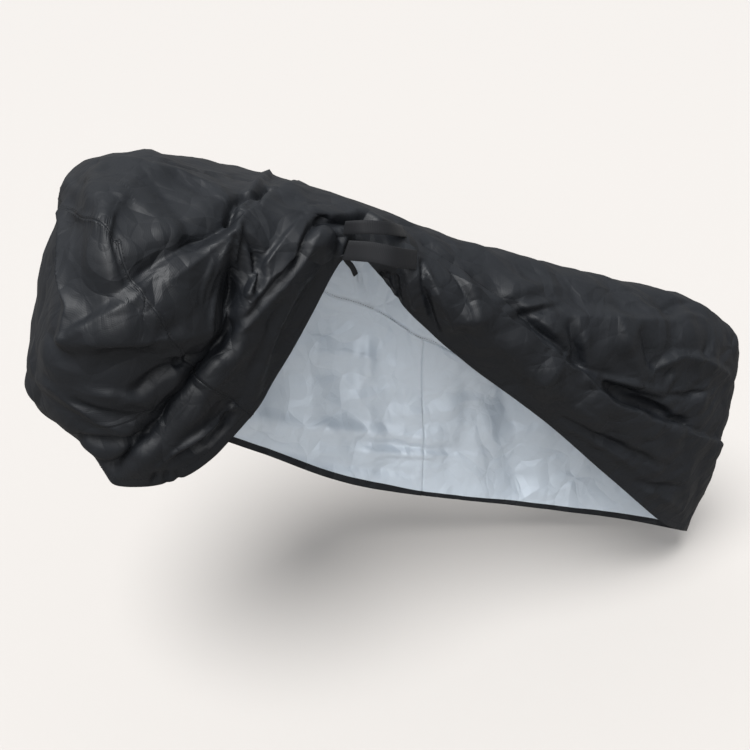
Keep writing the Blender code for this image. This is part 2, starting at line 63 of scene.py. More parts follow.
# Stations of the near side from nose to tail, with places at the hem, belly, crown and shoulder.
NEAR = (
    ("nose", (-.15, -.05, .70), (-.22, -.05, .88), (-.11, -.05, 1.18), (-.08, -.04, 1.22)),
    ("cheek", (-.13, -.12, .73), (-.21, -.14, .92), (-.09, -.13, 1.19), (-.07, -.09, 1.23)),
    ("corner", (-.12, -.18, .71), (-.18, -.22, .97), (-.08, -.20, 1.20), (-.06, -.12, 1.24)),
    ("front", (-.10, -.21, .70), (-.13, -.27, 1.00), (-.07, -.24, 1.21), (-.04, -.14, 1.24)),
    ("drop", (-.03, -.23, .70), (-.09, -.29, 1.00), (-.06, -.26, 1.21), (-.02, -.15, 1.24)),
    ("toe", (.05, -.23, .72), (-.04, -.30, 1.00), (-.05, -.27, 1.20), (.00, -.15, 1.24)),
    ("seam", (.15, -.22, .80), (.03, -.29, .99), (-.04, -.27, 1.18), (.03, -.15, 1.23)),
    ("rise", (.20, -.21, .86), (.09, -.27, 1.03), (.03, -.26, 1.18), (.09, -.14, 1.21)),
    ("sweep", (.26, -.20, .94), (.16, -.25, 1.07), (.12, -.23, 1.17), (.17, -.13, 1.185)),
    ("tie_in", (.34, -.19, 1.06), (.28, -.21, 1.12), (.24, -.17, 1.16), (.28, -.10, 1.17)),
    ("tie_mid", (.38, -.17, 1.06), (.35, -.18, 1.11), (.36, -.15, 1.14), (.38, -.09, 1.14)),
    ("tie_out", (.41, -.18, 1.03), (.42, -.18, 1.08), (.45, -.15, 1.10), (.46, -.09, 1.10)),
    ("fan", (.48, -.18, .93), (.49, -.21, 1.01), (.52, -.15, 1.04), (.54, -.09, 1.05)),
    ("waist", (.60, -.17, .80), (.61, -.21, .91), (.64, -.16, .97), (.66, -.09, .99)),
    ("flank", (.79, -.16, .62), (.78, -.20, .77), (.81, -.16, .88), (.84, -.09, .91)),
    ("haunch", (.99, -.15, .41), (.99, -.18, .61), (1.02, -.15, .78), (1.05, -.09, .825)),
    ("tail_in", (1.19, -.11, .20), (1.21, -.14, .47), (1.23, -.12, .69), (1.25, -.07, .75)),
    ("tail", (1.34, -.02, .07), (1.40, -.02, .34), (1.41, -.02, .56), (1.40, -.02, .64)),
)
# The ridge at the same stations.
RIDGE = (
    (-.04, -.03, 1.24), (-.04, -.03, 1.24), (-.03, -.03, 1.25), (-.01, -.03, 1.25), (.00, -.03, 1.25),
    (.03, -.03, 1.25), (.06, -.03, 1.24), (.12, -.03, 1.21), (.20, -.03, 1.18), (.30, -.03, 1.16),
    (.38, -.03, 1.13), (.47, -.03, 1.09), (.55, -.03, 1.05), (.68, -.03, .99), (.86, -.02, .92),
    (1.07, -.02, .84), (1.25, -.02, .77), (1.37, -.02, .68),
)
# Stations of the far side, by their numbers on the near side, with places at the same levels.
FAR = (
    (2, (-.12, .10, .66), (-.19, .12, .90), (-.09, .12, 1.17), (-.06, .07, 1.22)),
    (4, (-.03, .18, .60), (-.08, .23, .88), (-.02, .23, 1.11), (.01, .16, 1.20)),
    (6, (.08, .21, .54), (.04, .27, .82), (.08, .29, 1.06), (.10, .24, 1.17)),
    (8, (.24, .21, .44), (.21, .28, .72), (.26, .30, .94), (.26, .28, 1.115)),
    (10, (.41, .20, .33), (.40, .26, .61), (.44, .28, .80), (.42, .23, 1.05)),
    (12, (.56, .19, .26), (.56, .24, .52), (.58, .25, .73), (.58, .17, .975)),
    (13, (.65, .18, .23), (.66, .20, .42), (.66, .20, .67), (.68, .13, .92)),
    (15, (1.02, .13, .12), (1.02, .17, .33), (1.03, .17, .53), (1.06, .11, .78)),
    (16, (1.22, .08, .07), (1.24, .12, .31), (1.25, .13, .54), (1.27, .08, .72)),
)
LAST = len(NEAR) - 1

# Folds and creases, each traced along its line in the photograph's frame of 750 by 750 pixels. lift is how
# far the cloth stands out along the line, or in if negative; left and right are the half widths on its two
# sides, seen along it; all three are in millimetres. start and end are the shares of the lift at the line's
# ends. On the silver inside, a fold towards the viewer has a lift below zero. Round folds come first, and
# crisp ones, with flat sides and a sharp crease, are laid on them.
# name, lift, left, right, start, end, line
ROUND_FOLDS = (
    # outside
    ("arc_2_dark", -6, 10, 8, .3, .6, ((46, 374), (60, 392), (80, 402), (110, 412), (148, 420))),
    ("under_dark", -12, 8, 14, .3, .9, ((72, 433), (92, 434), (115, 437), (140, 437))),
    ("hem_pocket", -30, 12, 14, .6, .8, ((108, 458), (120, 453), (134, 445))),
    ("pinch_pocket", -12, 14, 12, .3, .6, ((168, 356), (182, 357), (197, 362))),
    ("main_valley", -38, 24, 14, .6, .6,
     ((138, 438), (150, 427), (162, 411), (172, 396), (184, 380), (197, 364), (212, 346), (224, 333))),
    ("strip_pocket", -7, 8, 8, .4, .4, ((284, 266), (290, 257), (296, 250))),
    ("roll_band", -6, 13, 16, .4, .4, ((242, 402), (246, 370), (258, 336), (270, 310), (290, 274))),
    ("roll_right", 18, 44, 14, .4, .4, ((258, 392), (270, 350), (288, 312), (310, 274))),
    ("tie_line", -30, 6, 14, .5, .6, ((318, 224), (345, 222), (370, 222), (396, 225))),
    ("shade_deep", -22, 12, 9, .3, .4, ((600, 386), (625, 398), (650, 409), (686, 428))),
    # silver inside
    ("soft_low_1", -16, 24, 20, .4, .4, ((255, 420), (340, 431), (455, 440))),
    ("soft_low_2", 9, 10, 10, .4, .4, ((340, 438), (400, 444), (455, 449))),
    ("soft_low_3", -9, 10, 10, .4, .4, ((350, 451), (400, 455), (460, 457))),
    ("soft_low_4", 8, 14, 12, .4, .4, ((260, 447), (330, 462), (420, 474))),
    ("hang_1", -8, 18, 18, .3, .3, ((372, 322), (366, 370), (356, 415))),
    ("hang_2", 7, 20, 20, .3, .3, ((462, 372), (466, 410), (462, 450))),
)
FRONT_RIB_LINE = ((61, 340), (66, 300), (69, 260), (68, 235), (65, 212))
CRISP_FOLDS = (
    # front, above the overlap
    ("front_rib", 18, 18, 26, .9, .8, FRONT_RIB_LINE),
    ("corner_crease", 5, 10, 12, .9, .3, ((66, 211), (80, 216), (98, 222))),
    ("side_crease", 5, 22, 18, .5, .5,
     ((158, 271), (140, 256), (118, 230), (108, 215), (98, 195), (88, 170))),
    ("rib_pinch", 5, 14, 15, .9, .7, FRONT_RIB_LINE),
    ("trough", -11, 34, 30, .3, 1, ((138, 166), (150, 185), (168, 208), (185, 226), (196, 246))),
    ("top_edge", 15, 34, 24, .3, .8, ((140, 159), (165, 170), (190, 182), (215, 193), (230, 201))),
    ("bag_crest", 8, 24, 80, .4, .6,
     ((84, 196), (104, 178), (135, 172), (175, 188), (215, 205), (230, 212))),
    ("top_valley", -12, 9, 8, .3, .6, ((164, 161), (200, 171), (240, 179), (258, 183))),
    ("top_facet", 4, 8, 8, .5, .5, ((220, 191), (232, 202), (250, 195))),
    # overlap and what hangs from it
    ("overlap", 18, 8, 56, .5, .9,
     ((61, 340), (85, 326), (120, 303), (140, 288), (160, 273), (200, 250), (220, 240), (237, 227))),
    ("overlap_shade", -18, 34, 11, .2, 1, ((134, 288), (150, 276), (168, 262), (203, 240), (232, 222))),
    ("overlap_plane", 26, 78, 30, .3, .7, ((100, 340), (135, 338), (170, 340), (208, 334))),
    ("overlap_face", 8, 40, 40, .4, .5, ((80, 347), (105, 332), (130, 318), (165, 311), (203, 308))),
    ("lit_strip", 5, 22, 26, .2, .9, ((122, 303), (160, 304), (198, 301))),
    ("strip_end", -6, 6, 6, .9, .3, ((197, 302), (202, 283), (212, 262), (222, 245))),
    ("left_rib", 8, 9, 12, .8, .4, ((201, 302), (206, 286), (215, 265), (225, 248), (235, 230))),
    ("dark_wedge", -38, 22, 18, .6, .25, ((216, 342), (224, 305), (230, 268), (236, 235))),
    ("wedge_rib", 8, 8, 8, .6, .3, ((207, 338), (210, 312), (216, 290))),
    ("light_rib", 14, 7, 7, .6, .5, ((248, 298), (243, 270), (240, 245), (238, 229))),
    ("right_wedge", -22, 9, 11, .7, .3, ((251, 290), (253, 274), (248, 252), (241, 233))),
    ("apex_crease", -4, 6, 6, .8, .2, ((240, 221), (248, 224), (258, 224))),
    # front, below the overlap
    ("lit_arc", 10, 26, 20, .4, .6, ((62, 341), (85, 340), (105, 338), (126, 337), (150, 342), (182, 352))),
    ("bulge_dark", -13, 14, 14, .3, 1, ((120, 394), (134, 389), (147, 375), (162, 366), (190, 358))),
    ("pinch_light", 5, 8, 8, .3, .6, ((138, 359), (160, 357), (182, 352))),
    ("arc_1", 6, 9, 14, .3, .6, ((82, 388), (100, 394), (120, 398), (140, 402), (153, 411))),
    ("arc_2", 10, 12, 18, .5, .6, ((38, 378), (50, 390), (64, 402), (84, 415), (104, 426), (142, 436))),
    ("arc_3", 4, 6, 8, .3, .7, ((112, 418), (130, 424), (150, 431))),
    # gathered front flap
    ("strip_lip", 12, 6, 18, .6, .5,
     ((222, 336), (240, 307), (250, 292), (262, 273), (278, 249), (292, 231), (302, 219))),
    ("strip_valley", -20, 9, 9, .3, .8,
     ((229, 331), (252, 303), (268, 286), (283, 268), (294, 251), (306, 235), (320, 223))),
    ("roll", 26, 30, 44, .5, .8,
     ((124, 462), (150, 444), (172, 415), (200, 382), (230, 344), (262, 306), (296, 262), (325, 232))),
    ("hollow", -30, 20, 9, .3, .8, ((170, 458), (185, 446), (200, 434), (216, 420), (226, 408))),
    ("hem_lip", 14, 6, 28, .4, .7, ((160, 466), (176, 456), (200, 440), (220, 426), (234, 410))),
    ("hem_gather_1", -7, 6, 6, .9, .2, ((153, 480), (158, 466))),
    ("hem_gather_2", -7, 6, 6, .9, .2, ((166, 482), (165, 464))),
    ("hem_gather_3", -6, 6, 6, .9, .2, ((180, 484), (176, 466))),
    # bunched crest
    ("crest_lip", 16, 7, 34, .7, .5, ((240, 221), (248, 212), (262, 202), (280, 191), (300, 184))),
    ("crest_shade", -20, 10, 8, .9, .5, ((228, 228), (229, 216), (240, 209), (256, 200), (272, 189))),
    ("bunch_rib", 13, 9, 9, .5, .9, ((245, 197), (253, 189), (262, 180), (269, 173))),
    ("bunch_dark", -6, 7, 7, .4, .8, ((262, 196), (270, 187), (275, 176))),
    ("band_edge", 9, 24, 22, .4, .4, ((264, 205), (282, 208), (302, 210), (322, 203))),
    ("band_line", -4, 5, 5, .6, .3, ((300, 218), (304, 212), (311, 207), (324, 204))),
    # tie
    ("tip_fold", 12, 9, 10, .6, .6, ((340, 264), (346, 248), (349, 236), (341, 226))),
    ("tip_crease", -5, 6, 6, .5, .4, ((342, 252), (337, 240), (331, 229))),
    # fan at the tie's rear end
    ("fan_dark_1", -16, 5, 6, .9, .3, ((382, 269), (386, 282), (393, 298))),
    ("fan_dark_2", -12, 5, 5, .9, .3, ((389, 269), (391, 284), (396, 300))),
    ("fan_dark_3", -14, 6, 6, .8, .3, ((397, 272), (400, 288), (401, 304))),
    ("fan_rib", 8, 8, 8, .8, .3, ((405, 270), (410, 295), (418, 322))),
    ("fan_dark_4", -15, 7, 7, .8, .3, ((413, 266), (419, 281), (428, 300), (440, 334))),
    ("fan_long", 9, 8, 9, .7, .4, ((418, 260), (430, 280), (444, 306), (456, 334))),
    ("fan_dark_5", -8, 7, 8, .6, .4, ((424, 256), (440, 274), (456, 292), (470, 318))),
    # rear roll
    ("rear_lip", 25, 5, 50, .4, .6,
     ((412, 246), (440, 263), (465, 281), (487, 297), (507, 314), (532, 336), (560, 359), (582, 376),
      (602, 389), (622, 403), (642, 416), (680, 430), (722, 445))),
    ("lip_shadow", -15, 11, 6, .3, .6,
     ((421, 246), (444, 259), (469, 277), (491, 293), (512, 310), (537, 331), (565, 354))),
    ("rear_shade", -15, 26, 10, .3, .5, ((560, 352), (590, 372), (612, 388), (640, 405), (684, 426))),
    ("rear_pocket", -20, 15, 12, .5, .3, ((577, 370), (570, 347), (567, 322))),
    ("pocket_rib", 9, 9, 24, .4, .4, ((583, 374), (581, 348), (575, 320))),
    ("low_dark_1", -12, 10, 14, .4, .4, ((562, 414), (590, 428), (620, 444), (672, 466))),
    ("low_light", 9, 14, 14, .4, .4, ((556, 420), (590, 440), (622, 458), (645, 478))),
    ("low_dark_2", -10, 11, 11, .5, .5, ((634, 480), (655, 484), (682, 485))),
    ("toe_crease", 9, 14, 14, .5, .5, ((644, 492), (662, 497), (684, 512))),
    ("roll_facet", 6, 28, 24, .4, .3, ((524, 388), (546, 374), (560, 360))),
    ("roll_spine", 17, 46, 46, .3, .5,
     ((424, 282), (450, 306), (484, 336), (530, 372), (575, 406), (620, 436), (664, 462))),
    ("fan_facet", 8, 34, 22, .4, .4, ((462, 264), (470, 288), (476, 314))),
    ("roll_facet_2", -9, 26, 26, .3, .4, ((496, 313), (504, 356), (528, 391))),
    ("roll_facet_3", 8, 26, 20, .4, .3, ((448, 330), (466, 318), (488, 322))),
    ("roll_facet_4", -8, 20, 20, .4, .4, ((592, 398), (604, 420), (622, 446))),
    ("roll_facet_5", 8, 22, 20, .4, .4, ((640, 424), (652, 446), (660, 474))),
    # rear body
    ("rear_shelf", 22, 22, 80, .5, .4, ((566, 317), (600, 315), (640, 318), (694, 322))),
    ("shelf_left", 8, 26, 20, .4, .4, ((534, 322), (552, 336), (563, 352))),
    ("body_plane", -9, 30, 30, .4, .4, ((446, 258), (476, 280), (520, 300))),
    ("end_plane", 9, 30, 26, .4, .4, ((716, 330), (712, 372), (700, 410), (690, 440))),
    ("body_arc", 10, 26, 22, .4, .6, ((497, 302), (520, 290), (545, 284), (566, 290))),
    ("body_line_1", 8, 12, 12, .6, .4, ((506, 312), (530, 306), (562, 301))),
    ("body_line_2", -8, 9, 10, .6, .4, ((514, 318), (536, 311), (560, 306))),
    ("body_crumple", -10, 14, 14, .4, .6, ((520, 322), (540, 334), (560, 345))),
    ("rear_facet", 15, 34, 26, .3, .7, ((604, 300), (617, 325), (630, 350), (643, 380))),
    ("rear_trough", -17, 20, 14, .4, .6, ((634, 330), (643, 354), (654, 373))),
    ("rear_arc", 16, 12, 26, .6, .6, ((655, 376), (670, 363), (690, 357), (711, 362), (732, 378))),
    ("arc_rib", 8, 12, 12, .5, .5, ((668, 388), (676, 376), (673, 364))),
    ("slit", -12, 7, 8, .5, .4, ((664, 394), (682, 393), (706, 388))),
    ("long_line_1", 11, 9, 18, .7, .4, ((582, 375), (606, 380), (640, 386), (668, 393))),
    ("long_line_2", -10, 8, 12, .5, .4, ((600, 384), (636, 392), (662, 399))),
    ("crumple_1", 9, 13, 13, .4, .4, ((638, 300), (652, 309), (668, 315))),
    ("crumple_2", -9, 12, 12, .4, .4, ((656, 318), (672, 307), (690, 302))),
    ("crumple_3", 8, 12, 12, .4, .4, ((668, 322), (688, 314), (706, 318))),
    ("back_edge", 10, 30, 34, .5, .6, ((430, 240), (500, 258), (560, 276), (620, 292), (650, 300))),
    # silver inside
    ("seam_ledge", -9, 22, 5, .5, .6, ((322, 293), (350, 300), (375, 308), (400, 322), (425, 337))),
    ("ledge_nick", 7, 5, 5, .6, .3, ((374, 304), (383, 311))),
    ("tuck_left", -12, 7, 9, .8, .2, ((346, 258), (352, 270), (358, 284), (362, 298))),
    ("tuck_right", 9, 6, 6, .8, .2, ((355, 260), (362, 276), (367, 296))),
    ("tuck_far", -7, 6, 7, .8, .2, ((366, 262), (378, 280), (392, 298))),
    ("upright_seam", -3, 5, 5, .5, .5, ((424, 340), (424, 390), (423, 435))),
)
# Folds that tip over to their left, and how far, as a share of how far they stand out.
LEANS = {"strip_lip": .2, "roll": .3, "hem_lip": .3, "crest_lip": .3, "rear_lip": .3}
# Folds of the far side, by (x, z) places in the side view, in metres, with the same columns.
FAR_FOLDS = (
    ("front_hang", 32, 45, 45, .3, .8, ((.10, 1.06), (.06, .85), (.04, .60))),
    ("mid_hang", -30, 45, 45, .2, .8, ((.30, 1.0), (.25, .80), (.22, .50))),
    ("rear_hang", 30, 50, 50, .3, .8, ((.86, .78), (.90, .50), (.92, .20))),
)

# Patches that the stiff cloth breaks into: distance between their sharp edges, and height, in metres. The
# edges bend, and the patches come and go, in waves of so many radians a metre. They are lower near the hem.
FACETS = ((.17, .008), (.13, .0065), (.10, .005), (.085, .004), (.07, .0032), (.055, .0024), (.045, .0018))
FACET_SEED = 3
FACET_BEND = .12                   # of the distance between the edges
FACET_BEND_TURNS = 9
FACET_SPREAD_TURNS = 7
FACETS_AT_HEM = .2                 # share of their height that is left there
FACETS_FULL_ABOVE = .15            # metres of cloth from the hem in which they grow by all of it

# Tie straps: name, width, the way that the rear end faces, and the line along the middle.
STRAPS = (
    ("upper_strap", .024, (.30, -.75, .60),
     ((.352, -.185, 1.122), (.385, -.207, 1.126), (.432, -.200, 1.114), (.470, -.146, 1.082))),
    ("lower_strap", .036, (-.10, -.90, .40),
     ((.346, -.205, 1.088), (.388, -.228, 1.086), (.430, -.232, 1.072), (.474, -.197, 1.048))),
    ("strap_end", .010, (.10, -1.0, .20),
     ((.343, -.192, 1.076), (.352, -.196, 1.062), (.362, -.190, 1.048), (.370, -.183, 1.030))),
)
STRAP_THICKNESS = 0.0022
STRAP_STEPS = 48                   # along a strap
STRAP_FACING = (0.0, -1.0, 0.12)   # the way that the front end faces
STRAP_GAP = 0.0008                 # between a strap and the cloth
STRAP_STIFFNESS = 12               # steps to each side over which it rides over a bump of the cloth
STRAP_SLANT = .30                  # run of its sewn end's cut for each metre of its width
# A strap's cross section: places across it, in its widths, and outwards, in its thicknesses.
STRAP_PROFILE = ((-.5, 0), (-.5, .5), (-.49, .8), (-.46, 1), (-.25, 1.06), (0, 1.08), (.25, 1.06), (.46, 1),
                 (.49, .8), (.5, .5), (.5, 0), (.46, -.1), (0, -.1), (-.46, -.1))
FREE_OF_CLOTH = .012               # a strap this far from the cloth hangs free

# Cuts of cloth: name, (width, length) of the flat cloth in metres, and its area in square metres.
CUTS = (
    ("main_panel", (1.35, 1.85), 2.0),
    ("front_panel", (.75, 1.15), .62),
    ("far_front_panel", (.60, .75), .40),
    ("far_rear_panel", (.55, .88), .44),
)

# Seams: folded edges that stand out, puckers in four waves along them, and two rows of stitches, in metres.
# Real stitches of such a cover are 3 to 4 mm apart; these are drawn coarser so that they show.
SEAM_RISE = .0011
SEAM_WIDTH = .005
SEAM_REACH = 5                     # columns or rows of the net that a seam shapes on each side
SEAM_WAVES = (.017, .024, .037, .060)
SEAM_PHASES = np.array((.3, 2.1, 4.0, 5.2))
PUCKER = .00036                    # height of each wave
PUCKER_WIDTH = .014
STITCH_OFFSET = .0042              # from the seam's middle
STITCH_LIFT = .0002                # of the thread's middle above the cloth
STITCH_PITCH = .0062
STITCH_LENGTH = .0042
THREAD_WIDTH = .0012

# ---------------------------------------------------------------------------- camera and room
CAMERA_AT = Vector((-.12128, -1.72127, 1.68734)) - Vector(CARRIED_AT)
CAMERA_RIGHT = Vector((.94287947, -.33255942, -.0195588))
CAMERA_UP = Vector((.17337747, .4397355, .88123376))
CAMERA_BACK = Vector((-.28446189, -.83428827, .47227588))
CAMERA_FACING = Matrix((CAMERA_RIGHT, CAMERA_UP, CAMERA_BACK)).transposed()
LENS = 45.86                       # mm
SENSOR = 36                        # mm wide
PHOTO = 750                        # pixels, the width and height of the photograph's frame
FLOOR_COLOUR = "#b9b5b1"
FLOOR_SIZE = 60
# The soft light of a white studio: colours by height on the way up to the zenith, darker near the horizon.
SKY = ((.05, "#a6a4a2"), (.6, "#f3f7fc"))
SKY_STRENGTH = .62
# Large soft lamps: name, strength, width seen from the cover and turn, both in degrees.
SUNS = (("overhead", 4.4, 33, (20, -21, 0)), ("front", 1.2, 32, (64, 0, -20)))


# ---------------------------------------------------------------------------- the cover's surface
def spline(knots, points, at):
    """Points of a smooth curve through points at knots, read at the numbers in at."""
    knots = np.asarray(knots, float)
    points = np.asarray(points, float)
    at = np.asarray(at, float)
    flat = (-1,) + (1,) * (points.ndim - 1)
    steps = np.diff(knots)
    slopes = np.diff(points, axis=0) / steps.reshape(flat)
    weight = (steps[1:] / (steps[:-1] + steps[1:])).reshape(flat)
    tangents = np.concatenate([slopes[:1], slopes[:-1] * weight + slopes[1:] * (1 - weight), slopes[-1:]])
    k = np.clip(np.searchsorted(knots, at, side="right") - 1, 0, len(knots) - 2)
    h = steps[k].reshape(flat)
    u = ((at - knots[k]) / steps[k]).reshape(flat)
    return ((2 * u**3 - 3 * u**2 + 1) * points[k] + (u**3 - 2 * u**2 + u) * h * tangents[k]
            + (3 * u**2 - 2 * u**3) * points[k + 1] + (u**3 - u**2) * h * tangents[k + 1])


def curve(line, steps):
    """A smooth curve through a line's places, read at even steps."""
    return spline(range(len(line)), line, np.linspace(0, len(line) - 1, steps + 1))


def unit(ways):
    """The ways at a length of one."""
    return ways / np.maximum(np.linalg.norm(ways, axis=-1, keepdims=True), 1e-12)


def placed(name, data):
    """A new object in the scene."""
    made = bpy.data.objects.new(name, data)
    bpy.context.scene.collection.objects.link(made)
    return made


def level_loops(stations):
    """Hem, belly, crown and shoulder at signed stations: near side positive, far side negative."""
    turn = 2 * LAST
    near = [(number, row[1:]) for number, row in enumerate(NEAR)]
    far = sorted(((turn - row[0], row[1:]) for row in FAR), key=lambda row: row[0])
    loop = near + far
    loop = [(n - turn, p) for n, p in loop[-3:]] + loop + [(n + turn, p) for n, p in loop[:4]]
    return spline([n for n, _ in loop], [p for _, p in loop], np.mod(stations, turn))


def ridge_line(stations):
    """Places along the ridge at station numbers from nose to tail."""
    return spline(range(LAST + 1), RIDGE, np.abs(stations))


def station_steps():
    """Station numbers of the mesh columns from nose to tail, evenly spaced along the cloth."""
    fine = np.linspace(0, LAST, 60 * LAST + 1)
    near = level_loops(fine)
    far = level_loops(-fine)
    tracks = (near[:, 0], near[:, 1], far[:, 1], ridge_line(fine))
    length = sum(np.linalg.norm(np.diff(track, axis=0), axis=1) for track in tracks)
    run = np.concatenate([[0], np.cumsum(length)])
    result = [0.0]
    ends = (0, FRONT_SEAM, FAR_SEAM, LAST)
    for start, end, count in zip(ends, ends[1:], COLUMNS):
        low, high = np.interp([start, end], fine, run)
        result += list(np.interp(np.linspace(low, high, count + 1)[1:], run, fine))
    return np.array(result)


def across_ridge(net):
    """A net of columns by rows, hem to ridge, with one more row from beyond the ridge."""
    return np.concatenate([net, net[opposite(net), -2:-1]], axis=1)


def opposite(net):
    """The column that meets each column of a net at the ridge."""
    return (-np.arange(len(net))) % len(net)


def cover_net():
    """The cover before it is folded, as a net of columns round the loop by rows from hem to ridge."""
    steps = station_steps()
    stations = np.concatenate([steps, -steps[-2:0:-1]])
    columns = np.concatenate([level_loops(stations), ridge_line(stations)[:, None]], axis=1)
    columns = across_ridge(columns)
    heights = [0.0]
    for low, high, count in zip(LEVELS, LEVELS[1:], ROWS):
        heights += list(np.linspace(low, high, count + 1)[1:])
    knots = LEVELS + (2 * LEVELS[4] - LEVELS[3],)
    return spline(knots, columns.transpose(1, 0, 2), heights).transpose(1, 0, 2)


def net_normals(net):
    """Unit outward normals of a net that closes on itself round the loop and across the ridge."""
    wide = across_ridge(net)
    around = np.roll(net, -1, axis=0) - np.roll(net, 1, axis=0)
    up = np.concatenate([wide[:, 1:2] - wide[:, :1], wide[:, 2:] - wide[:, :-2]], axis=1)
    normals = np.cross(around, up)
    normals[:, -1] += normals[opposite(net), -1]
    return unit(normals)


def pixel_ray(x, y):
    """The way from the camera through a pixel of the photograph's frame."""
    focal = LENS / SENSOR * PHOTO
    way = CAMERA_RIGHT * (x - PHOTO / 2) - CAMERA_UP * (y - PHOTO / 2) - CAMERA_BACK * focal
    return way.normalized()


def fold_share(start, end, along):
    """The share of a fold's lift at places along it from 0 to 1: all of it in the middle fifth."""
    return np.interp(along, (0, .4, .6, 1), (start, 1, 1, end))


def traced(fold, skin):
    """A fold's line of pixels as close points on the cloth, so that the lifted fold is seen at the line."""
    _, lift, _, _, start, end, line = fold
    eye = CAMERA_AT + Vector(CARRIED_AT)
    pixels = curve(line, LINE_STEPS * (len(line) - 1))
    heights = lift / 1000 * fold_share(start, end, np.linspace(0, 1, len(pixels)))
    places = []
    for (x, y), height in zip(pixels, heights):
        way = pixel_ray(x, y)
        hit, normal, _, _ = skin.ray_cast(eye, way)
        if hit is None:
            near = [skin.find_nearest(eye + way * far) for far in CLOTH_REACH]
            hit, normal, _, _ = min(near, key=lambda found: found[3])
        shifted = skin.ray_cast(eye - normal * height, way)[0]
        if shifted is not None and (shifted - hit).length < 2 * abs(height) + LINE_SHIFT:
            hit = shifted
        places.append(tuple(hit))
    return np.array(places)


def side_line(fold, net):
    """A far fold's line of (x, z) places as close points on the far side."""
    track = curve(fold[-1], LINE_STEPS * (len(fold[-1]) - 1))
    far = net[len(net) // 2:].reshape(-1, 3)
    away = np.hypot(track[:, None, 0] - far[None, :, 0], track[:, None, 1] - far[None, :, 2])
    return np.stack([track[:, 0], far[away.argmin(axis=1), 1], track[:, 1]], axis=1)


def evened(line):
    """The line with its depth smoothed, where the cloth behind it steps."""
    padded = np.pad(line, ((2, 2), (0, 0)), mode="edge")
    return np.mean([padded[shift:shift + len(line)] for shift in range(5)], axis=0)


def fold_moves(points, normals, line, fold, crisp):
    """Which vertices one fold moves, and how."""
    name, *sizes, start, end, _ = fold
    lift, left, right = (size / 1000 for size in sizes)
    reach = (FLAT_SIDE if crisp else ROUND_SIDE) * max(left, right)
    inside = (points > line.min(axis=0) - reach) & (points < line.max(axis=0) + reach)
    where = np.flatnonzero(inside.all(axis=1))
    place, normal = points[where], normals[where]
    piece = np.diff(line, axis=0)
    length = np.maximum(np.linalg.norm(piece, axis=1), 1e-6)
    run = np.concatenate([[0], np.cumsum(length)])
    offset = place[:, None] - line[None, :-1]
    along = np.clip((offset * piece).sum(axis=2) / length**2, 0, 1)
    away = offset - along[..., None] * piece
    distance = np.linalg.norm(away, axis=2)
    nearest = distance.argmin(axis=1)
    pick = np.arange(len(where)), nearest
    share = (run[nearest] + along[pick] * length[nearest]) / run[-1]
    leftward = unit(np.cross(normal, piece[nearest]))
    side = (leftward * unit(away[pick])).sum(axis=1)
    across = distance[pick] / (right + (left - right) * (1 + side) / 2)
    height = lift * fold_share(start, end, share)
    if crisp:
        across = np.minimum(across / FLAT_SIDE, 1)
        height *= (1 - across) * (1 - across**2)
    else:
        height *= np.exp(-across**2)
    return where, height[:, None] * (normal + LEANS.get(name, 0) * leftward)


def net_faces(net):
    """The quads of a net, as vertex numbers column by column."""
    count, high = net.shape[:2]
    column, row = np.meshgrid(np.arange(count), np.arange(high - 1), indexing="ij")
    after = (column + 1) % count
    corners = (column * high + row, after * high + row, after * high + row + 1, column * high + row + 1)
    return np.stack(corners, axis=2).reshape(-1, 4)


def skin_of(net):
    """The net as a surface for rays and nearest places."""
    return BVHTree.FromPolygons(net.reshape(-1, 3).tolist(), net_faces(net).tolist())


def evened_moves(moves):
    """Moves of the net's vertices, averaged with their neighbours so that no fold is finer than the net."""
    moves = (np.roll(moves, 1, axis=0) + 2 * moves + np.roll(moves, -1, axis=0)) / 4
    wide = np.concatenate([moves[:, :1], across_ridge(moves)], axis=1)
    moves = (wide[:, :-2] + 2 * wide[:, 1:-1] + wide[:, 2:]) / 4
    moves[:, -1] = (moves[:, -1] + moves[opposite(moves), -1]) / 2
    return moves


def turned_over(net, broad):
    """The vertices of faces that are steeper than a fold may be against the broad normals."""
    wide = np.roll(net, -1, axis=0)
    normals = unit(np.cross(wide[:, 1:] - net[:, :-1], net[:, 1:] - wide[:, :-1]))
    steep = (normals * (broad[:, 1:] + broad[:, :-1]) / 2).sum(axis=2) < STEEPEST
    marked = np.zeros(net.shape[:2], bool)
    for turn in (-1, 0, 1, 2):
        around = np.roll(steep, turn, axis=0)
        marked[:, 1:] |= around
        marked[:, :-1] |= around
    return marked


def eased(net, before, rounds=40):
    """The net with any cloth that has turned over along a fold eased back."""
    broad = net_normals(before)
    for _ in range(rounds):
        marked = turned_over(net, broad)
        if not marked.any():
            break
        moves = evened_moves(net - before)
        net = np.where(marked[..., None], before + moves, net)
    return net


def with_folds(net, folds, trace, on, crisp):
    """The net with these folds, each along the line that trace finds for it on the net or its skin."""
    points = net.reshape(-1, 3)
    normals = net_normals(net).reshape(-1, 3)
    moves = np.zeros_like(points)
    for fold in folds:
        where, move = fold_moves(points, normals, evened(trace(fold, on)), fold, crisp)
        moves[where] += move
    moves = moves.reshape(net.shape)
    return eased(net + (moves if crisp else evened_moves(moves)), net)


def with_waves(net):
    """The net with the cloth's own small waves."""
    sparse = net[::2, ::2]
    waves = settle(sparse, np.random.default_rng(WAVE_SEED)) - sparse
    return eased(net + finer(waves), net)


def ripple(points, turns, draw):
    """A wave of heights from -1 to 1 at the points, in a random direction, with so many radians a metre."""
    return np.sin(points @ draw.normal(size=3) * turns + draw.uniform(0, 6))


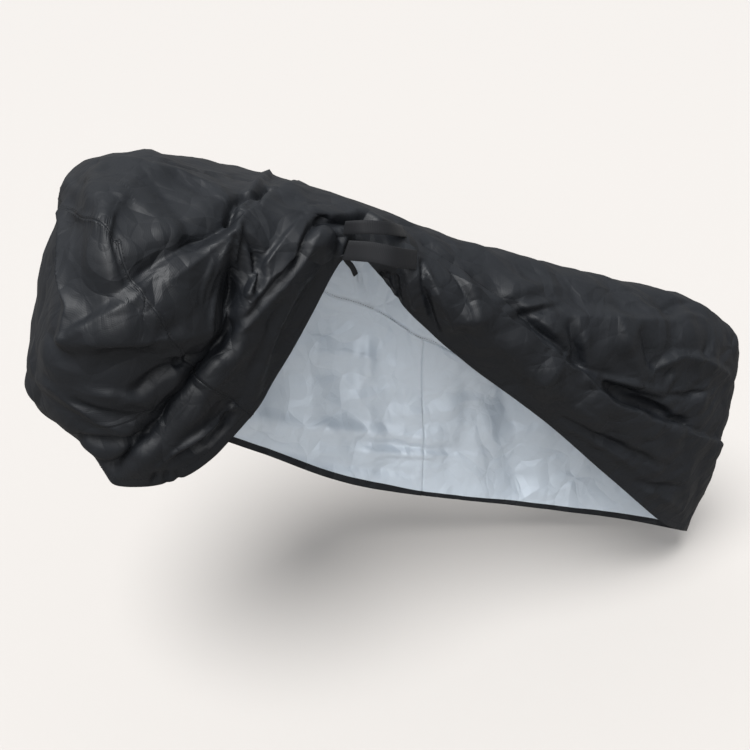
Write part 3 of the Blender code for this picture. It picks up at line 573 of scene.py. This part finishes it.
def with_facets(net):
    """The net with the flat patches, with sharp edges between them, that stiff coated cloth breaks into."""
    draw = np.random.default_rng(FACET_SEED)
    points = net.reshape(-1, 3)
    height = np.zeros(len(points))
    for size, depth in FACETS:
        bend = sum(ripple(points, FACET_BEND_TURNS, draw) for _ in range(3)) * FACET_BEND
        wave = (points @ unit(draw.normal(size=3))) / size + bend + draw.uniform(0, 1)
        spread = ripple(points, FACET_SPREAD_TURNS, draw)
        height += depth * (np.abs(wave - np.round(wave)) * 2 - .5) * np.clip(.5 + spread, 0, 1)
    height = height.reshape(net.shape[:2])
    height *= np.minimum(1, FACETS_AT_HEM + cloth_lengths(net)[..., 1] / FACETS_FULL_ABOVE)
    return net - net_normals(net) * height[..., None]


def cloth_net():
    """The cover's net with its round folds, its own waves and patches, its crisp folds and its seams."""
    net = cover_net()
    net = with_folds(net, FAR_FOLDS, side_line, net, False)
    net = with_folds(net, ROUND_FOLDS, traced, skin_of(net), False)
    net = with_facets(with_waves(net))
    net = with_folds(net, CRISP_FOLDS, traced, skin_of(net), True)
    return with_seams(net)


# ---------------------------------------------------------------------------- seams
def seam_lines():
    """The seams and the hem's stitched edge: columns and rows of the net, and the step across each."""
    first, second, third = COLUMNS
    half = first + second + third
    up = np.arange(SEAM_ROW + 1)
    lines = [(np.full(len(up), column), up, (1, 0)) for column in (first, half + third, 2 * half - first)]
    front = np.arange(-first, first + 1)
    back = np.arange(half, 2 * half - first + 1)
    return lines + [(columns, np.full(len(columns), SEAM_ROW), (0, 1)) for columns in (front, back)]


def with_seams(net):
    """The net with the thickness of its seams, and the small puckers that their stitches draw up."""
    count, high = net.shape[:2]
    lengths = cloth_lengths(net)
    height = np.zeros((count, high))
    for columns, rows, (turn, rise) in seam_lines():
        middle = columns % count, rows
        along = lengths[middle].sum(axis=1) * 2 * math.pi
        for step in range(-SEAM_REACH, SEAM_REACH + 1):
            across = (columns + turn * step) % count, np.clip(rows + rise * step, 0, high - 1)
            away = np.linalg.norm(net[across] - net[middle], axis=1)
            phases = SEAM_PHASES + np.sign(step)
            waves = sum(np.sin(along / size + phase) for size, phase in zip(SEAM_WAVES, phases))
            rise_here = SEAM_RISE * np.exp(-(away / SEAM_WIDTH)**2)
            if step:
                rise_here += PUCKER * waves * np.exp(-(away / PUCKER_WIDTH)**2)
            height[across] += rise_here
    return net + net_normals(net) * height[..., None]


def stitch_rows(net):
    """Lines just outside the cloth for the stitches: a pair along each seam and one along the hem."""
    count = len(net)
    lifted = net + net_normals(net) * STITCH_LIFT
    rows = []
    for columns, heights, (turn, rise) in seam_lines():
        for side in (1, -1):
            middle = columns % count, heights
            beside = net[(columns + side * turn) % count, heights + side * rise] - net[middle]
            rows.append(lifted[middle] + unit(beside) * STITCH_OFFSET)
    hem = np.arange(count + 1) % count
    return rows + [lifted[hem, HEM_ROWS]]


def stitch_tree(material):
    """Geometry Nodes that lay one small stitch every pitch along each line of a mesh of edges."""
    tree = bpy.data.node_groups.new("stitches_along_lines", "GeometryNodeTree")
    tree.interface.new_socket("Lines", in_out="INPUT", socket_type="NodeSocketGeometry")
    sizes = {"Pitch": STITCH_PITCH, "Stitch length": STITCH_LENGTH, "Thread width": THREAD_WIDTH}
    for name, size in sizes.items():
        socket = tree.interface.new_socket(name, in_out="INPUT", socket_type="NodeSocketFloat")
        socket.default_value = size
    tree.interface.new_socket("Stitches", in_out="OUTPUT", socket_type="NodeSocketGeometry")
    given = node(tree, "NodeGroupInput").outputs
    line = node(tree, "GeometryNodeMeshToCurve", links={"Mesh": given["Lines"]})
    places = node(tree, "GeometryNodeResampleCurve", {"mode": "LENGTH"},
                  links={"Curve": line.outputs["Curve"], "Length": given["Pitch"]})
    way = node(tree, "GeometryNodeInputTangent")
    turn = node(tree, "FunctionNodeAlignRotationToVector", {"axis": "Z"},
                links={"Vector": way.outputs["Tangent"]})
    thread = node(tree, "GeometryNodeMeshIcoSphere", values={"Radius": .5, "Subdivisions": 1})
    size = node(tree, "ShaderNodeCombineXYZ",
                links={"X": given["Thread width"], "Y": given["Thread width"], "Z": given["Stitch length"]})
    laid = node(tree, "GeometryNodeInstanceOnPoints",
                links={"Points": places.outputs["Curve"], "Instance": thread.outputs["Mesh"],
                       "Rotation": turn.outputs["Rotation"], "Scale": size.outputs["Vector"]})
    real = node(tree, "GeometryNodeRealizeInstances", links={"Geometry": laid.outputs["Instances"]})
    finish = node(tree, "GeometryNodeSetMaterial", values={"Material": material},
                  links={"Geometry": real.outputs["Geometry"]})
    node(tree, "NodeGroupOutput", links={"Stitches": finish.outputs["Geometry"]})
    return tree


def stitches(net, material):
    """The thread of the seams and of the hem."""
    vertices, edges = [], []
    for row in stitch_rows(net):
        edges += [(len(vertices) + step, len(vertices) + step + 1) for step in range(len(row) - 1)]
        vertices += (row - CARRIED_AT).tolist()
    mesh = bpy.data.meshes.new("stitch_lines")
    mesh.from_pydata(vertices, edges, [])
    holder = placed("stitch_lines", mesh)
    modifier = holder.modifiers.new("stitches", "NODES")
    modifier.node_group = stitch_tree(material)
    seen = holder.evaluated_get(bpy.context.evaluated_depsgraph_get())
    done = bpy.data.meshes.new_from_object(seen)
    done.polygons.foreach_set("use_smooth", [True] * len(done.polygons))
    bpy.data.objects.remove(holder)
    piece = placed("cover_stitches", done)
    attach(piece, "root")


# ---------------------------------------------------------------------------- the cloth's own waves
# Springs of the cloth: columns on, rows up, stiffness, and whether they also resist being stretched.
SPRINGS = ((1, 0, 1.0, True), (0, 1, 1.0, True), (1, 1, .4, True), (-1, 1, .4, True),
           (3, 0, .25, False), (0, 3, .25, False), (6, 0, .12, False), (0, 6, .12, False))
GROWTH = .004                      # share by which the cloth is larger than the shape in which it hangs
HOLD = .02                         # share of the way back to that shape in each round
SPRING_STEP = 3.2                  # how much of the springs' push is taken in each round
SETTLING_ROUNDS = 140
WAVE_SEED = 7
FIRST_BUMPS = 5                    # width of the bumps that it starts from, in cells of the net
FIRST_HEIGHT = .0015


def finer(field):
    """A field on every second column and row of the net, read on all of them."""
    after, before, beyond = (np.roll(field, turn, axis=0) for turn in (-1, 1, -2))
    between = (9 * (field + after) - before - beyond) / 16
    field = np.stack([field, between], axis=1).reshape((-1,) + field.shape[1:])
    below, above = 2 * field[:, :1] - field[:, 1:2], 2 * field[:, -1:] - field[:, -2:-1]
    wide = np.concatenate([below, field, above], axis=1)
    result = np.empty((len(field), 2 * field.shape[1] - 1, 3))
    result[:, ::2] = field
    result[:, 1::2] = (9 * (wide[:, 1:-2] + wide[:, 2:-1]) - wide[:, :-3] - wide[:, 3:]) / 16
    return result


def soft_noise(shape, spread, amount, draw):
    """Smooth random heights on the net, in metres, with bumps about spread cells across."""
    waves = np.fft.rfft2(draw.normal(size=shape))
    across = np.fft.fftfreq(shape[0])[:, None]
    up = np.fft.rfftfreq(shape[1])[None]
    waves *= np.exp(-((across**2 + up**2) * (math.pi * spread / 2)**2))
    height = np.fft.irfft2(waves, s=shape)
    return height / height.std() * amount


def settle(target, draw):
    """Lets cloth that is a little larger than the target shape find its own small folds near it."""
    high = target.shape[1]
    bumps = soft_noise(target.shape[:2], FIRST_BUMPS, FIRST_HEIGHT, draw)
    place = target + net_normals(target) * bumps[..., None]
    springs = []
    for turn, rise, stiffness, both in SPRINGS:
        ahead = np.roll(target, -turn, axis=0)[:, rise:]
        length = np.linalg.norm(ahead - target[:, :high - rise], axis=2)
        springs.append((turn, rise, stiffness, both, length * (1 + GROWTH)))
    total = sum(stiffness for _, _, stiffness, _, _ in springs) * 2
    for _ in range(SETTLING_ROUNDS):
        push = np.zeros_like(place)
        for turn, rise, stiffness, both, length in springs:
            ahead = np.roll(place, -turn, axis=0)[:, rise:]
            span = ahead - place[:, :high - rise]
            now = np.maximum(np.linalg.norm(span, axis=2), 1e-7)
            error = (now - length) / now
            if not both:
                error = np.minimum(error, 0)
            change = span * (error * stiffness / 2)[..., None]
            push[:, :high - rise] += change
            push[:, rise:] -= np.roll(change, turn, axis=0)
        place += push * (SPRING_STEP / total)
        place += (target - place) * HOLD
        place[:, -1] = (place[:, -1] + place[opposite(place), -1]) / 2
    return place


# ---------------------------------------------------------------------------- materials
# Threads of the cloth are about 0.15 mm apart and ribs of the band 1.2 mm, both drawn coarser so that they
# show.
THREADS = .0036
RIBS = .0036
# Flat patches pressed into the cloth when it was folded away: their size in metres, their slope, and how far
# their edges wander, in metres.
PATCHES = ((.12, .14, .25), (.045, .08, .12))
BEND_SIZE = .25                    # of the waves in which their edges wander
RIDGE_SIZE = .0625                 # of the fine creases between them
CRINKLE = .0006                    # height of the fine creases
SHADE_SIZE = .20                   # of patches of a slightly different shade and gloss


def linear(hex_colour):
    """A colour's sRGB hex value as linear RGBA."""
    values = [int(hex_colour[i:i + 2], 16) / 255 for i in (1, 3, 5)]
    return tuple(v / 12.92 if v <= 0.04045 else ((v + 0.055) / 1.055)**2.4 for v in values) + (1.0,)


def node(tree, kind, settings=None, values=None, links=None):
    """Adds one node with its settings, its sockets' values and the links into it."""
    made = tree.nodes.new(kind)
    for name, value in (settings or {}).items():
        setattr(made, name, value)
    for name, value in (values or {}).items():
        made.inputs[name].default_value = value
    for name, socket in (links or {}).items():
        tree.links.new(socket, made.inputs[name])
    return made


def new_material(name, sockets):
    """A material with its Principled shader's constants set on the shader's own sockets."""
    material = bpy.data.materials.new(name)
    material.use_nodes = True
    shader = material.node_tree.nodes["Principled BSDF"]
    for socket, value in sockets.items():
        shader.inputs[socket].default_value = value
    return material, material.node_tree, shader


def pressed_creases(tree, place):
    """Heights of the creases pressed into a folded cloth: fine ridges, and flat patches with bent edges."""
    warp = node(tree, "ShaderNodeTexNoise", values={"Scale": 1 / BEND_SIZE, "Detail": 2.0},
                links={"Vector": place})
    ridges = node(tree, "ShaderNodeTexNoise", {"noise_type": "RIDGED_MULTIFRACTAL"},
                  {"Scale": 1 / RIDGE_SIZE, "Detail": 4.0, "Roughness": .5, "Lacunarity": 2.2},
                  {"Vector": place})
    height = node(tree, "ShaderNodeMath", {"operation": "MULTIPLY"}, {1: CRINKLE},
                  {0: ridges.outputs["Fac"]})
    for size, slope, wander in PATCHES:
        bent = node(tree, "ShaderNodeVectorMath", {"operation": "MULTIPLY_ADD"}, {1: (wander,) * 3},
                    {0: warp.outputs["Color"], 2: place})
        edge = node(tree, "ShaderNodeTexVoronoi", {"feature": "DISTANCE_TO_EDGE"}, {"Scale": 1 / size},
                    {"Vector": bent.outputs["Vector"]})
        height = node(tree, "ShaderNodeMath", {"operation": "MULTIPLY_ADD"}, {1: slope * size},
                      {0: edge.outputs["Distance"], 2: height.outputs["Value"]})
    return height.outputs["Value"]


def coated_cloth(name, light, dark, roughness, specular, metallic):
    """Plain-woven polyester with a coating: even satin gloss, with old fold creases pressed into it."""
    material, tree, shader = new_material(
        name, {"Metallic": metallic, "IOR": 1.5, "Specular IOR Level": specular})
    place = node(tree, "ShaderNodeTexCoord").outputs["Object"]
    patches = node(tree, "ShaderNodeTexNoise",
                   values={"Scale": 1 / SHADE_SIZE, "Detail": 4.0, "Roughness": .6},
                   links={"Vector": place}).outputs["Fac"]
    colour = node(tree, "ShaderNodeMix", {"data_type": "RGBA"}, {"A": linear(dark), "B": linear(light)},
                  {"Factor": patches})
    gloss = node(tree, "ShaderNodeMapRange",
                 values={"From Min": .3, "From Max": .7, "To Min": roughness - .05,
                         "To Max": roughness + .06}, links={"Value": patches})
    broad = node(tree, "ShaderNodeBump", values={"Strength": 1.0, "Distance": 1.0},
                 links={"Height": pressed_creases(tree, place)})
    cloth = node(tree, "ShaderNodeUVMap", {"uv_map": "cloth"}).outputs["UV"]
    weave = [node(tree, "ShaderNodeTexWave", {"bands_direction": direction},
                  {"Scale": band_scale(THREADS), "Distortion": .6, "Detail": 1.0}, {"Vector": cloth})
             for direction in ("X", "Y")]
    woven = node(tree, "ShaderNodeMath", {"operation": "ADD"},
                 links={0: weave[0].outputs["Fac"], 1: weave[1].outputs["Fac"]})
    fine = node(tree, "ShaderNodeBump", values={"Strength": .10, "Distance": .0006},
                links={"Height": woven.outputs["Value"], "Normal": broad.outputs["Normal"]})
    tree.links.new(colour.outputs["Result"], shader.inputs["Base Color"])
    tree.links.new(gloss.outputs["Result"], shader.inputs["Roughness"])
    tree.links.new(fine.outputs["Normal"], shader.inputs["Normal"])
    return material


def band_scale(pitch):
    """The scale at which a Wave Texture's bands are pitch metres apart."""
    return 2 * math.pi / (20 * pitch)


def webbing_cloth(name):
    """Flat woven polypropylene band: dull, with close ribs across it and a faint sheen from its fibres."""
    material, tree, shader = new_material(
        name, {"Base Color": linear("#141518"), "Roughness": .66, "IOR": 1.49, "Specular IOR Level": .26,
               "Sheen Weight": .03, "Sheen Roughness": .5})
    cloth = node(tree, "ShaderNodeUVMap", {"uv_map": "cloth"})
    ribs = node(tree, "ShaderNodeTexWave", {"bands_direction": "X"},
                {"Scale": band_scale(RIBS), "Distortion": .4}, {"Vector": cloth.outputs["UV"]})
    bump = node(tree, "ShaderNodeBump", values={"Strength": .35, "Distance": .0006},
                links={"Height": ribs.outputs["Fac"]})
    tree.links.new(bump.outputs["Normal"], shader.inputs["Normal"])
    return material


# ---------------------------------------------------------------------------- pieces
def add_mesh(name, vertices, faces, materials, indices=None, uv=None, flat_faces=0):
    """A new smooth-shaded mesh object in the carried point's frame. Its last flat_faces faces are flat."""
    mesh = bpy.data.meshes.new(name)
    mesh.from_pydata((np.asarray(vertices) - CARRIED_AT).tolist(), [], faces)
    for material in materials:
        mesh.materials.append(material)
    if indices is not None:
        mesh.polygons.foreach_set("material_index", indices)
    if uv is not None:
        corner = np.empty(len(mesh.loops), int)
        mesh.loops.foreach_get("vertex_index", corner)
        layer = mesh.uv_layers.new(name="cloth")
        layer.data.foreach_set("uv", np.asarray(uv)[corner].ravel())
    mesh.polygons.foreach_set("use_smooth", [True] * (len(faces) - flat_faces) + [False] * flat_faces)
    return placed(name, mesh)


def cloth_cells(net):
    """The cloth's faces as rings of (column, row), twice as large on the far side above the seam."""
    half, top = len(net) // 2, net.shape[1] - 1
    cells = [((c, r), (c + 1, r), (c + 1, r + 1), (c, r + 1)) for c in range(2 * half)
             for r in range(top if c < half else SEAM_ROW)]
    for c in range(half, 2 * half, 2):
        for r in range(SEAM_ROW, top, 2):
            ring = [(c, r), (c + 1, r), (c + 2, r), (c + 2, r + 1),
                    (c + 2, r + 2), (c + 1, r + 2), (c, r + 2), (c, r + 1)]
            spare = {(c + 1, r): r > SEAM_ROW, (c + 2, r + 1): c + 2 < 2 * half,
                     (c + 1, r + 2): r + 2 < top, (c, r + 1): c > half}
            cells.append(tuple(place for place in ring if not spare.get(place)))
    return cells


def fan(ring, start):
    """A ring's triangles from one of its corners."""
    ring = ring[start:] + ring[:start]
    return [(ring[0], ring[i], ring[i + 1]) for i in range(1, len(ring) - 1)]


def flattest(faces):
    """Twice the area of the smallest of some triangles of (column, row) places."""
    return min(abs((b[0] - a[0]) * (c[1] - a[1]) - (b[1] - a[1]) * (c[0] - a[0])) for a, b, c in faces)


def triangles(ring, net):
    """A face's triangles: a quad is cut across its shorter diagonal, others are fans with none flat."""
    count = len(net)
    if len(ring) == 4:
        a, b, c, d = (net[column % count, row] for column, row in ring)
        return fan(ring, int(((b - d)**2).sum() < ((a - c)**2).sum()))
    return max((fan(ring, start) for start in range(len(ring))), key=flattest)


def shell(name, net, normals, lengths, cells, materials):
    """One cut of cloth from the net: outer skin, inner skin, and the edge between them."""
    count, top = len(net), net.shape[1] - 1
    numbers = {}
    faces = []
    inside = []
    for ring in cells:
        for triangle in triangles(ring, net):
            face = []
            for column, row in triangle:
                column %= count
                if row == top:
                    column = min(column, count - column)
                face.append(numbers.setdefault((column, row), len(numbers)))
            faces.append(tuple(face))
            inside.append(0 if ring[0][1] < HEM_ROWS else 1)
    columns, rows = np.array(list(numbers)).T
    outer = net[columns, rows]
    inner = outer - normals[columns, rows] * CLOTH
    shift = len(outer)
    rim = edge_loop(faces)
    shape = faces + [tuple(corner + shift for corner in reversed(face)) for face in faces]
    shape += [(end, start, start + shift, end + shift) for start, end in rim]
    uv = lengths[columns, rows]
    return add_mesh(name, np.concatenate([outer, inner]), shape, materials,
                    [0] * len(faces) + inside + [0] * len(rim), np.concatenate([uv, uv]), len(rim))


def edge_loop(faces):
    """The edges that only one face has, in that face's direction."""
    edges = {edge for face in faces for edge in zip(face, face[1:] + face[:1])}
    return sorted(edge for edge in edges if edge[::-1] not in edges)


def cloth_lengths(net):
    """Each vertex's place on its cloth: metres round the loop at the belly, and metres up from the hem."""
    belly = net[:, ROWS[0]]
    around = np.linalg.norm(np.roll(belly, -1, axis=0) - belly, axis=1)
    across = np.concatenate([[0], np.cumsum(around)[:-1]])
    up = np.linalg.norm(np.diff(net, axis=1), axis=2)
    height = np.concatenate([np.zeros((len(net), 1)), np.cumsum(up, axis=1)], axis=1)
    return np.stack([np.broadcast_to(across[:, None], height.shape), height], axis=2)


def cut_of(column, row):
    """The cut of cloth that the face from this column and row of the net belongs to."""
    first, second, third = COLUMNS
    if row >= SEAM_ROW:
        return "main_panel"
    if column < first or column >= 2 * sum(COLUMNS) - first:
        return "front_panel"
    if column < first + second + third:
        return "main_panel"
    return "far_rear_panel" if column < first + second + 2 * third else "far_front_panel"


def cover_pieces(net, outside, inside):
    """The four cuts of cloth that make the cover."""
    normals = evened_moves(net_normals(net))
    lengths = cloth_lengths(net)
    cells = {name: [] for name, _, _ in CUTS}
    for ring in cloth_cells(net):
        cells[cut_of(*ring[0])].append(ring)
    for name, flat, area in CUTS:
        piece = shell("cover_" + name, net, normals, lengths, cells[name], [outside, inside])
        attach(piece, "root")
        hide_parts(name)


def clearance(cover, place):
    """Distance from a place to the cloth's outer face, negative behind it."""
    nearest, normal, _, distance = cover.find_nearest(Vector(place))
    free = distance > FREE_OF_CLOTH
    return distance if free else math.copysign(distance, (Vector(place) - nearest).dot(normal))


def strap(name, width, end_facing, line, cover, material):
    """A woven band that follows its line a little above the cloth."""
    share = np.linspace(0, 1, STRAP_STEPS + 1)[:, None]
    middle = curve(line, STRAP_STEPS)
    run = unit(np.gradient(middle, axis=0))
    facing = np.array(STRAP_FACING) * (1 - share) + np.array(end_facing) * share
    facing = unit(facing - (facing * run).sum(axis=1, keepdims=True) * run)
    up = np.cross(facing, run)
    samples = np.linspace(-.5, .5, 9) * width
    for _ in range(10):
        lift = np.array([STRAP_GAP - min(clearance(cover, place + side * across) for across in samples)
                         for place, side in zip(middle, up)])
        if lift.max() <= 0:
            break
        wide = np.pad(np.maximum(lift, 0), STRAP_STIFFNESS, mode="edge")
        window = STRAP_STIFFNESS + 1
        peak = np.array([wide[step:step + window].max() for step in range(len(middle) + STRAP_STIFFNESS)])
        middle += facing * np.convolve(peak, np.full(window, 1 / window), "valid")[:, None]
    slant = run * (STRAP_SLANT * (1 - share)**4)
    rings = np.array([middle + (up + slant) * width * across + facing * STRAP_THICKNESS * high
                      for across, high in STRAP_PROFILE]).transpose(1, 0, 2)
    sides = len(STRAP_PROFILE)
    last = STRAP_STEPS * sides
    faces = [tuple(range(sides)), tuple(range(last, last + sides))[::-1]]
    for ring in range(0, last, sides):
        for side in range(sides):
            after = (side + 1) % sides
            faces.append((ring + sides + side, ring + sides + after, ring + after, ring + side))
    length = np.linalg.norm(np.diff(middle, axis=0), axis=1).sum()
    uv = [(s * length, across * width) for s in share[:, 0] for across, _ in STRAP_PROFILE]
    piece = add_mesh("cover_" + name, rings.reshape(-1, 3), faces, [material], None, uv, 2)
    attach(piece, "root")
    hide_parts(name)


# ---------------------------------------------------------------------------- room
def camera():
    """The camera at the photograph's viewing angle."""
    made = placed("camera", bpy.data.cameras.new("camera"))
    made.data.sensor_width = SENSOR
    made.data.lens = LENS
    made.matrix_world = Matrix.Translation(CAMERA_AT) @ CAMERA_FACING.to_4x4()
    bpy.context.scene.camera = made


def room():
    """Pale floor and soft light."""
    scene = bpy.context.scene
    scene.view_settings.view_transform = "Standard"
    paint, _, _ = new_material("painted_floor", {"Base Color": linear(FLOOR_COLOUR), "Roughness": .9})
    corners = [(x * FLOOR_SIZE / 2, y * FLOOR_SIZE / 2, 0) for x, y in ((-1, -1), (1, -1), (1, 1), (-1, 1))]
    floor = add_mesh("floor", np.array(corners), [(0, 1, 2, 3)], [paint])
    floor.visible_glossy = False
    scene.world = bpy.data.worlds.new("studio")
    scene.world.use_nodes = True
    tree = scene.world.node_tree
    background = tree.nodes["Background"]
    background.inputs["Strength"].default_value = SKY_STRENGTH
    way = node(tree, "ShaderNodeTexCoord")
    parts = node(tree, "ShaderNodeSeparateXYZ", links={"Vector": way.outputs["Generated"]})
    ramp = node(tree, "ShaderNodeValToRGB", links={"Fac": parts.outputs["Z"]})
    for stop, (height, colour) in zip(ramp.color_ramp.elements, SKY):
        stop.position = height
        stop.color = linear(colour)
    tree.links.new(ramp.outputs["Color"], background.inputs["Color"])
    for name, strength, width, turn in SUNS:
        sun = bpy.data.lights.new(name, "SUN")
        sun.energy = strength
        sun.angle = math.radians(width)
        placed(name, sun).rotation_euler = [math.radians(angle) for angle in turn]


# ---------------------------------------------------------------------------- build
net = cloth_net()
# Outside: black polyester, plain-woven and coated: the folds have a satin gloss, and the weave hardly shows.
black = coated_cloth("black_coated_polyester", "#171a1f", "#111316", roughness=.54, specular=.34, metallic=0)
# Inside: the coating holds aluminium powder, which gives a pale, dull silver with broad soft highlights.
silver = coated_cloth("silver_coating", "#c4cdd6", "#b6c0ca", roughness=.5, specular=.5, metallic=.15)
cover_pieces(net, black, silver)
webbing = webbing_cloth("black_webbing")
stitches(net, webbing)
skin = skin_of(net)
for strap_row in STRAPS:
    strap(*strap_row, skin, webbing)
camera()
room()
